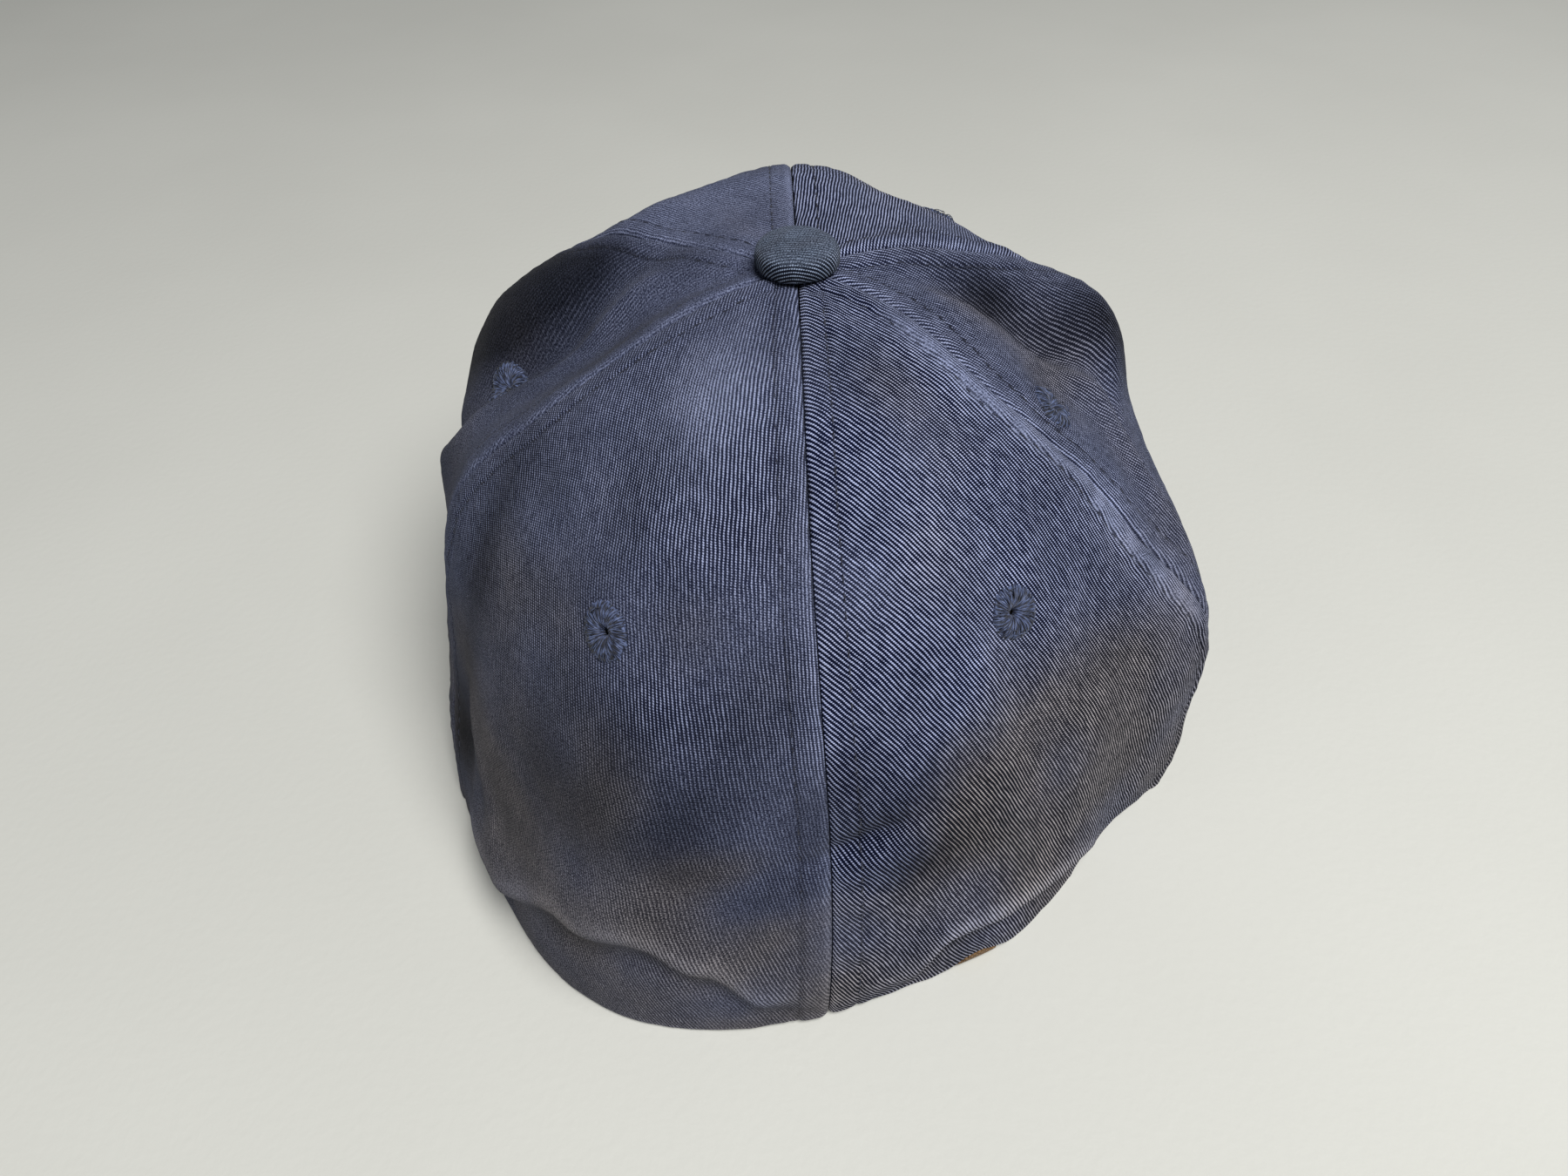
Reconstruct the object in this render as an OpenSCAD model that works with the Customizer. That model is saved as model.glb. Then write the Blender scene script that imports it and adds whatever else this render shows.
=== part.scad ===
// Six-panel baseball cap with a closed back and a pre-curved bill.
// Millimetres. The origin is under the button, on the plane that the hem rests on.
// +Z is up, the bill points to -Y, the back of the cap is +Y and the wearer's left is +X.
// Angles round the crown start at the back (+Y) and grow towards the wearer's left (+X).

/* [Crown] */
// Height of the seam crossing under the button
crown_h = 112.5; // [95:0.5:135]
// Button axis to the hem at the back
hem_back = 98; // [84:1:118]
// Button axis to the hem at the front
hem_front = 94; // [80:1:113]
// Button axis to the hem at each side
hem_side = 88; // [75:1:106]
// How far the bill holds the front of the hem off the table
front_lift = 20; // [8:1:30]
// The hem lies flat from the back round to this angle on each side
flat_hem_angle = 75; // [50:1:90]
// How strongly the soft crown is dented and swollen, 0 is a new cap
worn = 1; // [0:0.05:1]

/* [Cloth] */
// Thickness of the cotton twill
twill_t = 0.9; // [0.6:0.1:1.4]
// Thickness of the stiffener behind the two front panels
buckram_t = 0.6; // [0.3:0.1:1]
// Thickness of the tape over each seam
tape_t = 0.6; // [0.3:0.1:1]
// Width of the tape over each seam
tape_w = 16; // [10:1:22]
// Gap between two panels at their seam
seam_gap = 0.3; // [0.2:0.05:0.6]
// Gap between two layers
layer_gap = 0.3; // [0.2:0.05:0.5]

/* [Sweatband] */
// Height of the sweatband
band_h = 32; // [22:1:40]
// Thickness of the sweatband
band_t = 1.2; // [0.8:0.1:2]
// How far the sweatband stops above the hem at the back
band_rise = 0.4; // [0.2:0.1:2]

/* [Eyelets] */
// Outside diameter of an embroidered eyelet
eyelet_d = 10.5; // [8:0.5:14]
// Diameter of the air hole inside an eyelet
eyelet_hole_d = 2.6; // [1.5:0.1:4]
// Height of the thread ring on the outside
eyelet_ring_t = 0.8; // [0.5:0.1:1.2]
// Height of the thread ring on the inside
eyelet_back_t = 0.5; // [0.3:0.1:0.8]

/* [Button] */
// Diameter of the covered button
button_d = 16.8; // [13:0.2:20]
// Height of the covered button
button_h = 6; // [5:0.5:8]
// Thickness of the metal in the button
button_metal_t = 0.6; // [0.4:0.1:0.9]
// Diameter of the rivet's shank
shank_d = 2.4; // [2:0.1:3.5]
// Diameter of the washer inside the crown
washer_d = 13; // [10:0.5:15]

/* [Bill] */
// Length of the bill ahead of the front hem
bill_len = 70; // [55:1:85]
// Radius of the bill's outer edge, seen from above
bill_r = 92; // [84:1:102]
// Half of the angle round the crown over which the bill is sewn on
bill_half_angle = 68; // [58:1:74]
// How much higher the middle of the rim stands than its sides
bill_arch = 18; // [10:1:30]
// Thickness of the plastic board inside the bill
board_t = 2; // [1.2:0.1:3]

/* [Hidden] */
$fn = 64;

// Colours
NAVY = [0.26, 0.30, 0.43];
FADED = [0.40, 0.38, 0.39];
THREAD = [0.16, 0.20, 0.34];
TAPE = [0.13, 0.15, 0.22];
TAN = [0.55, 0.43, 0.31];
WHITE = [0.85, 0.85, 0.82];
STEEL = [0.70, 0.71, 0.73];

// Roundness of the crown's side view: [angle from the back, exponent], 2 is an ellipse
SHOULDER = [[0, 2.05], [30, 2.1], [60, 2.2], [90, 2.5], [112, 2.9], [150, 2.75], [180, 3.7]];
// Waves of the relaxed hem: [angle, outward, width in degrees]
HEM_WAVES = [[21, 9.5, 17], [68, 2, 22], [-28, -4.5, 17], [-50, -4, 9], [-70, 2, 10]];
// Bulges and valleys of the soft crown: [angle, way down, outward, width, share of the way down]
DENTS = [
    [-70, 0.76, 7.5, 22, 0.17], [80, 0.78, -3.5, 30, 0.16], [74, 0.5, 2.5, 12, 0.12],
    [-86, 0.4, -9.5, 16, 0.19], [88, 0.36, -9, 15, 0.2], [-125, 0.42, -4.5, 15, 0.2],
    [-106, 0.5, 2, 10, 0.12], [112, 0.5, 3.5, 14, 0.16]
];
// The six seams, in order round the crown from the back: angle at the hem
SEAMS = [0, 65, 121, 180, 243, 300];
// How each seam bows on the way down: [way down, degrees, width]
SEAM_BOWS = [
    [[0.5, 0, 1]], [[0.63, 10, 0.2], [0.15, -2, 0.2]], [[0.5, 0, 1]],
    [[0.5, 0, 1]], [[0.26, 5, 0.15]], [[0.3, 7, 0.15], [0.82, -9, 0.2]]
];
// The eyelet of each panel: [angle, way down]
EYELETS = [[28.5, 0.51], [93, 0.49], [147, 0.44], [213, 0.44], [291.5, 0.4], [327.5, 0.55]];
FRONT_PANELS = [2, 3];

// Way down at which the panels start at the button, and at which the linings stop over the hem
panel_top = 0.016;
lining_end = 0.985;
// Rows of the panels' grid that the linings leave free round the button
lining_skip = 2;
// The most that a tape spreads to each side near the button, in degrees
tape_spread = 26;

// Grid of the curved sheets. Layers share their rows and columns, so that their gaps are even.
panel_cols = 12;
panel_rows = 22;
tape_cols = 2;
band_cols = 72;
band_rows = 3;
bill_cols = 28;
bill_rows = 8;
eyelet_cols = 18;
panel_ts = [for (k = [0 : panel_rows]) mix(panel_top, 1, k / panel_rows)];
lining_ts = [for (k = [lining_skip : panel_rows]) min(panel_ts[k], lining_end)];

// Depths of the layers under the outer face of the crown
buckram_depth = twill_t + layer_gap;
tape_depth = twill_t + layer_gap;
front_tape_depth = buckram_depth + buckram_t + layer_gap;
band_depth = front_tape_depth + tape_t + layer_gap;

// The bill's layers are measured from the middle of its board
cover_in = board_t / 2 + layer_gap;
cover_out = cover_in + twill_t;
// Share of the bill's length at which the board ends and the covers start to close
bill_close = 0.94;
// The board stops this share of the bill's length short of the crown
board_start = 0.02;
// Gap between the hem and the bill that passes under it
bill_drop = 0.8;
// Width left at the two ends of the bill
bill_end_w = 3;
// The ends of the bill draw in to the hem with this power of the angle
bill_corner_power = 6;
bill_centre_y = hem_front + bill_len - bill_r;
bill_vs = concat([for (i = [0 : bill_rows]) bill_close * i / bill_rows], [mix(bill_close, 1, 0.5), 1]);

eyelet_sleeve_t = 0.6;
// Gaps of the thread rings to the cloth: above and below it, and in the air hole
eyelet_gap = 0.55;
hole_gap = 0.5;
eyelet_r = eyelet_d / 2;
eyelet_hole_r = eyelet_hole_d / 2;
panel_hole_r = eyelet_hole_r + eyelet_sleeve_t + hole_gap;

button_base = crown_h + layer_gap;
button_top = button_base + button_h;
button_shoulder = button_base + 1.4;
shell_base = button_base + twill_t + layer_gap;
shell_r = button_d / 2 - twill_t - layer_gap;
shank_gap = 0.05;
washer_gap = 0.7;
washer_top = crown_h - twill_t - washer_gap;
washer_t = 0.8;
rivet_tail_t = 0.6;

// ---- Curves -------------------------------------------------------------

function wrap(a) = a - 360 * floor((a + 180) / 360);
function bell(x, w) = exp(-pow(x / w, 2));
function total(list) = list * [for (i = list) 1];
function mix(a, b, f) = a + (b - a) * f;
function ease(f) = (1 - cos(180 * max(0, min(1, f)))) / 2;

// Value of a table of [x, value] rows at x, eased between the rows
function eased(table, x) =
    let (i = max([for (k = [0 : len(table) - 2]) if (x >= table[k][0]) k]))
    let (f = (x - table[i][0]) / (table[i + 1][0] - table[i][0]))
    mix(table[i][1], table[i + 1][1], ease(f));

function shoulder(th) = eased(SHOULDER, abs(wrap(th)));

// Radius of the hem in plan
function hem_radius(th) =
    let (reach = cos(th) > 0 ? hem_back : hem_front)
    1 / sqrt(pow(sin(th) / hem_side, 2) + pow(cos(th) / reach, 2))
    + worn * total([for (w = HEM_WAVES) w[1] * bell(wrap(th - w[0]), w[2])]);

// Height of the hem over the table
function hem_z(th) =
    front_lift * ease((abs(wrap(th)) - flat_hem_angle) / (180 - flat_hem_angle));

function dent(th, t) =
    worn * total([for (d = DENTS) d[2] * bell(wrap(th - d[0]), d[3]) * bell(t - d[1], d[4])]);

// Outer face of the crown, moved outward by off. t runs from 0 at the button to 1 at the hem.
function crown_point(th, t, off = 0) =
    let (n = shoulder(th), zh = hem_z(th), rise = crown_h - zh, reach = hem_radius(th))
    let (s = sin(90 * t), c = cos(90 * t), rho = pow(pow(s, n) + pow(c, n), -1 / n))
    let (a = rho * s, b = rho * c)
    let (nr = pow(a, n - 1) / reach, nz = pow(b, n - 1) / rise, l = norm([nr, nz]))
    let (d = dent(th, t) * (1 - bell(t, 0.07)) + off)
    let (r = reach * a + nr / l * d)
    [r * sin(th), r * cos(th), zh + rise * b + nz / l * d];

// Direction square to the crown's outer face
function crown_normal(th, t) =
    let (down = crown_point(th, t + 0.005) - crown_point(th, t - 0.005))
    let (round = crown_point(th + 0.5, t) - crown_point(th - 0.5, t))
    let (n = cross(round, down))
    n / norm(n);

// Way down of the point that lies h above the hem
function way_down(th, h) =
    let (n = shoulder(th), q = h / (crown_h - hem_z(th)))
    atan2(pow(1 - pow(q, n), 1 / n), q) / 90;

// Point of the crown wall h above the hem, or straight below the hem where h is negative
function wall_point(th, h, off) =
    h > 0 ? crown_point(th, way_down(th, h), off) : crown_point(th, 1, off) + [0, 0, h];

// Distance of the crown's face from the button axis
function ring_radius(th, t) = let (p = crown_point(th, t)) norm([p.x, p.y]);

// Degrees that a width takes up at a point of the crown
function spread(width, th, t) = width / ring_radius(th, t) * 180 / PI;

// Angle of seam i at t
function seam(i, t) =
    (i < 6 ? SEAMS[i] : 360 + SEAMS[0])
    + worn * total([for (b = SEAM_BOWS[i % 6]) b[1] * bell(t - b[0], b[2])]);

// ---- Solids -------------------------------------------------------------

// Closed sheet of cloth between two faces. face(u, v, side) gives its points: u runs from 0 to 1
// round the crown, v takes the values in rows from the top down, and side is 0 on the outer face
// and 1 on the inner one. A ring's last column meets its first.
module sheet(cols, rows, face, ring = false) {
    ends_u = ring ? cols : cols + 1;
    last = len(rows) - 1;
    points = [for (side = [0, 1], i = [0 : ends_u - 1], v = rows) face(i / cols, v, side)];
    function id(side, i, j) = (side * ends_u + i % ends_u) * len(rows) + j;
    function quad(a, b, c, d) = [[a, b, c], [a, c, d]];
    faces = [for (i = [0 : cols - 1], j = [0 : last - 1]) each concat(
        quad(id(0, i, j), id(0, i, j + 1), id(0, i + 1, j + 1), id(0, i + 1, j)),
        quad(id(1, i, j), id(1, i + 1, j), id(1, i + 1, j + 1), id(1, i, j + 1)))];
    top_and_bottom = [for (i = [0 : cols - 1]) each concat(
        quad(id(0, i, 0), id(0, i + 1, 0), id(1, i + 1, 0), id(1, i, 0)),
        quad(id(0, i + 1, last), id(0, i, last), id(1, i, last), id(1, i + 1, last)))];
    sides = ring ? [] : [for (j = [0 : last - 1]) each concat(
        quad(id(0, 0, j + 1), id(0, 0, j), id(1, 0, j), id(1, 0, j + 1)),
        quad(id(0, cols, j), id(0, cols, j + 1), id(1, cols, j + 1), id(1, cols, j)))];
    polyhedron(points, concat(faces, top_and_bottom, sides), convexity = 6);
}

// Puts its children on the crown at [angle, way down], with +Z outward
module on_crown(place) {
    n = crown_normal(place[0], place[1]);
    translate(crown_point(place[0], place[1]))
    rotate([0, acos(n.z), atan2(n.y, n.x)])
        children();
}

// Layer of cloth between seams i and i + 1, from depth to depth + thickness
module panel_layer(i, depth, thickness, ts) {
    face = function(u, t, side)
        let (a = seam(i, t) + spread(seam_gap / 2, seam(i, t), t))
        let (b = seam(i + 1, t) - spread(seam_gap / 2, seam(i + 1, t), t))
        crown_point(mix(a, b, u), t, -depth - side * thickness);
    sheet(panel_cols, ts, face);
}

module air_hole(i) {
    on_crown(EYELETS[i])
        cylinder(h = 4 * band_depth, r = panel_hole_r, center = true);
}

module panel(i) {
    color(i == 0 || i == 1 ? NAVY : mix(NAVY, FADED, 0.4))
    difference() {
        panel_layer(i, 0, twill_t, panel_ts);
        air_hole(i);
    }
}

module buckram(i) {
    color(WHITE)
    difference() {
        panel_layer(i, buckram_depth, buckram_t, lining_ts);
        air_hole(i);
    }
}

// Tape over the inside of seam i
module seam_tape(i, depth) {
    face = function(u, t, side)
        let (half = min(spread(tape_w / 2, seam(i, t), t), tape_spread))
        crown_point(seam(i, t) + (2 * u - 1) * half, t, -depth - side * tape_t);
    color(TAPE)
        sheet(tape_cols, lining_ts, face);
}

// Height of the sweatband's lower edge over the hem. At the front it covers the bill's edge.
function band_low(th) = band_rise - (bill_drop + 2 * cover_out) * hem_z(th) / front_lift;

module sweatband() {
    face = function(u, v, side)
        let (th = 360 * u)
        wall_point(th, band_low(th) + band_h * (1 - v), -band_depth - side * band_t);
    color(TAN)
        sheet(band_cols, [for (k = [0 : band_rows]) k / band_rows], face, ring = true);
}

// Thread ring round the air hole of panel i, closed over the edge of the layers it is sewn
// through. It bends with the crown: each point of its outline is [radius, height over the crown].
module eyelet(i, depth) {
    th = EYELETS[i][0];
    t = EYELETS[i][1];
    fall = norm(crown_point(th, t + 0.005) - crown_point(th, t - 0.005)) / 0.01;
    low = -depth - eyelet_gap;
    sleeve_r = eyelet_hole_r + eyelet_sleeve_t;
    inside_r = eyelet_r - 1.5;
    outline = [
        [eyelet_hole_r, low - eyelet_back_t], [inside_r, low - eyelet_back_t], [inside_r, low],
        [sleeve_r, low], [sleeve_r, eyelet_gap], [eyelet_r, eyelet_gap],
        [eyelet_r - 0.6, eyelet_gap + eyelet_ring_t], [sleeve_r, eyelet_gap + eyelet_ring_t],
        [eyelet_hole_r, eyelet_gap]
    ];
    m = len(outline);
    points = [for (k = [0 : eyelet_cols - 1], p = outline)
        let (phi = 360 * k / eyelet_cols)
        crown_point(th + spread(p[0] * cos(phi), th, t), t + p[0] * sin(phi) / fall, p[1])];
    function id(k, j) = (k % eyelet_cols) * m + j % m;
    faces = [for (k = [0 : eyelet_cols - 1], j = [0 : m - 1]) each [
        [id(k, j), id(k + 1, j), id(k + 1, j + 1)], [id(k, j), id(k + 1, j + 1), id(k, j + 1)]]];
    polyhedron(points, faces, convexity = 6);
}

module eyelets() {
    color(THREAD)
    for (i = [0 : 5])
        eyelet(i, len(search(i, FRONT_PANELS)) > 0 ? buckram_depth + buckram_t : twill_t);
}

// ---- Bill ---------------------------------------------------------------

// Point on the middle layer of the bill. u runs from 0 to 1 round the crown and v from 0 at
// the crown to 1 at the rim; up is the height over the middle layer.
function bill_point(u, v, up) =
    let (w = 2 * u - 1, th = 180 + w * bill_half_angle)
    let (root = crown_point(th, 1, layer_gap - band_depth))
    let (end = crown_point(180 + sign(w) * bill_half_angle, 1, layer_gap - band_depth))
    let (far = acos((-end.y - bill_centre_y) / bill_r))
    let (rim_x = -bill_r * sin(w * far), rim_y = -bill_centre_y - bill_r * cos(w * far))
    let (slack = abs(end.x) + bill_end_w - bill_r * sin(far))
    let (draw_in = pow(abs(w), bill_corner_power))
    let (root_z = hem_z(th) - bill_drop - cover_out)
    let (rim_z = cover_out + bill_arch * (1 - pow(rim_x / bill_r, 2)))
    [mix(root.x, rim_x - sign(w) * slack * draw_in, v), mix(root.y, rim_y, v),
        mix(root_z, mix(rim_z, root_z, draw_in), v) + up];

// The covers close over the edge of the board
function bill_half(v, open, shut) = mix(open, shut, ease((v - bill_close) / (1 - bill_close)));

// side_of_board is 1 for the cover on top and -1 for the one below
module bill_cover(side_of_board) {
    half_seam = layer_gap / 2;
    face = function(u, v, side)
        let (outside = (side == 0) == (side_of_board > 0))
        let (open = outside ? cover_out : cover_in, shut = outside ? half_seam + twill_t : half_seam)
        let (up = bill_half(v, open, shut))
        bill_point(u, v, side_of_board * up);
    color(side_of_board > 0 ? NAVY : mix(NAVY, FADED, 0.3))
        sheet(bill_cols, bill_vs, face);
}

module bill_board() {
    face = function(u, v, side)
        bill_point(mix(1 / bill_cols, 1 - 1 / bill_cols, u), v, (0.5 - side) * board_t);
    color(WHITE)
        sheet(bill_cols - 2, concat([board_start], [for (k = [1 : bill_rows]) bill_vs[k]]), face);
}

// ---- Button -------------------------------------------------------------

// Half section of a dome: a straight side up to the shoulder, then an arc to the top
module dome(r, base, shoulder_z, top_z) {
    high = top_z - shoulder_z;
    arc_r = (r * r + high * high) / (2 * high);
    intersection() {
        translate([0, top_z - arc_r])
            circle(arc_r, $fn = 128);
        translate([0, base])
            square([r, top_z - base]);
    }
}

module button_cover() {
    color(NAVY)
    difference() {
        rotate_extrude()
        difference() {
            dome(button_d / 2, button_base, button_shoulder, button_top);
            dome(button_d / 2 - twill_t, button_base + twill_t, button_shoulder + 0.1,
                button_top - twill_t);
        }
        cylinder(h = 2 * button_top, r = shank_d / 2 + layer_gap);
    }
}

module button_shell() {
    top = button_top - twill_t - layer_gap;
    color(STEEL)
    rotate_extrude()
    difference() {
        dome(shell_r, shell_base, button_shoulder + 0.1, top);
        dome(shell_r - button_metal_t, shell_base - 1, button_shoulder, top - button_metal_t);
    }
}

module button_rivet() {
    plate_r = shell_r - button_metal_t - 3 * layer_gap;
    tail_top = washer_top - washer_t - layer_gap / 2;
    tail_low = tail_top - rivet_tail_t;
    color(STEEL) {
        translate([0, 0, shell_base])
            cylinder(h = button_metal_t, r = plate_r);
        translate([0, 0, tail_low])
            cylinder(h = shell_base - tail_low, r = shank_d / 2);
        translate([0, 0, tail_low])
            cylinder(h = rivet_tail_t, r = shank_d / 2 + 0.6);
    }
}

module button_washer() {
    color(STEEL)
    translate([0, 0, washer_top - washer_t])
    difference() {
        cylinder(h = washer_t, d = washer_d);
        translate([0, 0, -1])
            cylinder(h = washer_t + 2, r = shank_d / 2 + shank_gap);
    }
}

panel(0);  // panel_back_left
panel(1);  // panel_side_left
panel(2);  // panel_front_left
panel(3);  // panel_front_right
panel(4);  // panel_side_right
panel(5);  // panel_back_right
buckram(2);  // buckram_front_left
buckram(3);  // buckram_front_right
seam_tape(0, tape_depth);  // seam_tape_back_centre
seam_tape(1, tape_depth);  // seam_tape_back_left
seam_tape(2, front_tape_depth);  // seam_tape_front_left
seam_tape(3, front_tape_depth);  // seam_tape_front_centre
seam_tape(4, front_tape_depth);  // seam_tape_front_right
seam_tape(5, tape_depth);  // seam_tape_back_right
sweatband();
eyelets();
bill_cover(1);  // bill_cover_top
bill_board();
bill_cover(-1);  // bill_cover_bottom
button_cover();
button_shell();
button_rivet();
button_washer();
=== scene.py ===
"""Looks of a six-panel baseball cap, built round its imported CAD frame.

Lengths are millimetres until a mesh is made. Angles round the crown start at the back (+Y) and
grow towards the wearer's left (+X), t runs down the crown from 0 at the button to 1 at the hem.
"""

import math

import bpy
import numpy as np
from mathutils import Matrix, Vector
from mathutils.bvhtree import BVHTree


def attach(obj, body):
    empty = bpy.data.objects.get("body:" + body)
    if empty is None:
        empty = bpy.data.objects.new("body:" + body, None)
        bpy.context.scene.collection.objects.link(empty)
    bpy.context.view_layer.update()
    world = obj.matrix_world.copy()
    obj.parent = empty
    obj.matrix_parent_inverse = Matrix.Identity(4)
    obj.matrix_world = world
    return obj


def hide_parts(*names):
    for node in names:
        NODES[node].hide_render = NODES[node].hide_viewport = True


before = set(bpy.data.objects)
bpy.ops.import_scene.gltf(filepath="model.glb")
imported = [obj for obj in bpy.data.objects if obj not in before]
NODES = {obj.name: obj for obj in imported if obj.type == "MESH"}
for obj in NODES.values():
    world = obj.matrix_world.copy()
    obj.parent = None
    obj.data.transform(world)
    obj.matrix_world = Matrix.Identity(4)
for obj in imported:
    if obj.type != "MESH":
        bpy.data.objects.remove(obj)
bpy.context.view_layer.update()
MM = 0.001
UV_SCALE = 0.01

# ---- Sizes that the CAD part is built from --------------------------------

CROWN_H, HEM_BACK, HEM_FRONT, HEM_SIDE, FRONT_LIFT, FLAT_HEM_ANGLE = 112.5, 98, 94, 88, 20, 75
TWILL_T, BUCKRAM_T, TAPE_T, TAPE_W, SEAM_GAP, LAYER_GAP = 0.9, 0.6, 0.6, 16, 0.3, 0.3
BAND_H, BAND_T, BAND_RISE = 32, 1.2, 0.4
EYELET_BACK_T, SLEEVE_R, PANEL_HOLE_R = 0.5, 1.9, 2.4
BUTTON_R, BUTTON_BASE, BUTTON_TOP = 8.4, 112.8, 118.8
BILL_R, BILL_CENTRE_Y, BILL_HALF_ANGLE, BILL_ARCH = 92, 72, 68, 18
COVER_IN, COVER_OUT, BILL_DROP, BILL_END_W, BILL_CORNER_POWER = 1.3, 2.2, 0.8, 3, 6
PANEL_TOP, LINING_TOP, LINING_END = 0.016, 0.105, 0.985
BUCKRAM_DEPTH, TAPE_DEPTH, FRONT_TAPE_DEPTH, BAND_DEPTH = 1.2, 1.2, 2.1, 3.0

SHOULDER = [(0, 2.05), (30, 2.1), (60, 2.2), (90, 2.5), (112, 2.9), (150, 2.75), (180, 3.7)]
HEM_WAVES = [(21, 9.5, 17), (68, 2, 22), (-28, -4.5, 17), (-50, -4, 9), (-70, 2, 10)]
DENTS = [(-70, 0.76, 7.5, 22, 0.17), (80, 0.78, -3.5, 30, 0.16), (74, 0.5, 2.5, 12, 0.12),
         (-86, 0.4, -9.5, 16, 0.19), (88, 0.36, -9, 15, 0.2), (-125, 0.42, -4.5, 15, 0.2),
         (-106, 0.5, 2, 10, 0.12), (112, 0.5, 3.5, 14, 0.16)]
SEAMS = [0, 65, 121, 180, 243, 300, 360]
# Bows of the six seams: way down, degrees, width. The back centre seam is straight in the CAD
SEAM_BOWS = [[(0.8, -1.9, 0.35)], [(0.63, 10, 0.2), (0.15, -2, 0.2)], [], [], [(0.26, 5, 0.15)],
             [(0.3, 7, 0.15), (0.82, -9, 0.2)]]
EYELETS = [(28.5, 0.51), (93, 0.49), (147, 0.44), (213, 0.44), (291.5, 0.4), (327.5, 0.55)]
PANELS = ["back_left", "side_left", "front_left", "front_right", "side_right", "back_right"]
SEAM_NAMES = ["back_centre", "back_left", "front_left", "front_centre", "front_right",
              "back_right"]
FRONT_PANELS = (2, 3)
FRONT_SEAMS = (2, 3, 4)

# ---- Shape of the worn cloth ----------------------------------------------

# Roll over the top of the sweatband, round the back: angle and way down, angle and height
ROLL_TRACK = [(-52, 1.0), (-36, 0.925), (-25, 0.908), (-17, 0.905), (-11, 0.955), (-3, 0.97),
              (5, 0.93), (12, 0.86), (18, 0.825), (28, 0.855), (44, 0.93), (60, 0.935)]
ROLL_HEIGHT = [(-62, 0), (-50, 0.4), (-36, 2.5), (-25, 2.8), (-17, 2.4), (-8, 0.8),
               (0, 0.4), (8, 1.8), (18, 2.5), (30, 2.6), (46, 2.2), (64, 0)]
# Soft folds: angle, way down, outward, width in degrees, share of the way down, lean
FOLDS = [(-5, 0.733, -2.2, 6.5, 0.013, 0.0015), (-7, 0.765, 1.1, 6, 0.022, 0),
         (-6, 0.70, 0.9, 7, 0.022, 0), (48, 0.845, 1.0, 7, 0.03, -0.0104),
         (58, 0.84, -1.8, 3.5, 0.08, -0.0104), (22, 0.42, -0.6, 3, 0.07, 0),
         (55, 0.445, -1.0, 4, 0.03, 0), (-24, 0.7, 0.6, 3.5, 0.12, 0),
         (-31, 0.68, -0.5, 3.5, 0.12, 0),
         (-51, 0.43, 1.6, 5, 0.2, -0.012), (-42, 0.27, 1.0, 5, 0.1, -0.012),
         (40, 0.82, 0.6, 4, 0.06, 0), (-16, 0.86, 0.5, 4, 0.05, 0),
         (-98, 0.49, 6, 13.6, 0.07, 0), (-122, 0.29, 2.4, 11, 0.2, 0),
         (93, 0.62, 3, 8, 0.17, 0), (140, 0.3, 2.9, 25, 0.05, 0)]
# Ridges beside the stiff side seams: side of the crown, and the ridge's angle at ways down
SIDE_RIDGES = [(-1, [(0.15, -82), (0.35, -85), (0.48, -86), (0.6, -73), (0.75, -68)]),
               (1, [(0.15, 100), (0.45, 87), (0.55, 88), (0.7, 96)])]
# How the foot of the crown spreads: angle, outward, width in degrees
FLARES = [(34, 3.5, 25), (19, -2.8, 13), (-26, 2.6, 8), (-65, 2.3, 13)]
# Where the hem lifts off the table: angle, height, width in degrees
HEM_LIFTS = [(-21.3, 3.4, 3.4), (0, 0.8, 9), (-52, 1.2, 5)]
STITCH_PITCH, STITCH_LEN, THREAD_R, LINING_THREAD_R, BAND_THREAD_R = 3.2, 2.35, 0.15, 0.18, 0.2
# Most degrees that a tape or a row of stitches may stand off its seam near the button
TAPE_REACH, ROW_REACH = 26, 25
# Where the rows of topstitching start and end on the way down
ROW_TOP, ROW_END = 0.085, 0.984
# Stitch rows: shares of a tape's half width, heights on the sweatband
TAPE_ROWS, BAND_ROWS = (-0.7, 0.7), (3.0, 29.4)
# Rows of topstitching that lie deep in the cloth: seam, side
SUNK_ROWS = [(0, 1), (1, 1), (2, 0), (4, 1), (5, 1)]
# How high the doubled cloth stands beside each seam: on its own panel, on the panel before it
LAPS = [(0.5, 0.15), (0.25, 0.3), (0.2, 0.2), (0.2, 0.2), (0.25, 0.25), (0.6, 0.35)]

# Faded patches: angle, way down, amount, width in degrees, share of the way down
FADES = [(49, 0.54, 0.55, 11, 0.05), (49, 0.71, 0.5, 12, 0.09), (29, 0.69, 0.5, 12, 0.08),
         (23, 0.61, 0.4, 9, 0.05), (11, 0.735, 0.45, 7, 0.03), (20, 0.8, 0.3, 18, 0.06),
         (-41, 0.66, 0.55, 10, 0.07), (-30, 0.67, 0.5, 8, 0.07), (-20, 0.69, 0.35, 7, 0.05),
         (-42, 0.79, 0.5, 14, 0.08), (-55, 0.67, 0.4, 10, 0.1), (-24, 0.77, 0.5, 9, 0.06),
         (5.5, 0.775, -0.75, 6, 0.03), (-10, 0.775, -0.75, 5, 0.03), (-8, 0.6, -0.6, 7, 0.07),
         (-18, 0.59, -0.5, 6, 0.05), (8, 0.66, -0.7, 8, 0.1), (36, 0.3, -0.3, 20, 0.1),
         (100, 0.6, 0.35, 22, 0.2), (-88, 0.3, 0.5, 14, 0.12), (-75, 0.5, 0.3, 14, 0.2),
         (150, 0.35, 0.2, 25, 0.25), (210, 0.4, 0.2, 25, 0.25), (62, 0.92, -0.3, 10, 0.1)]
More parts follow.
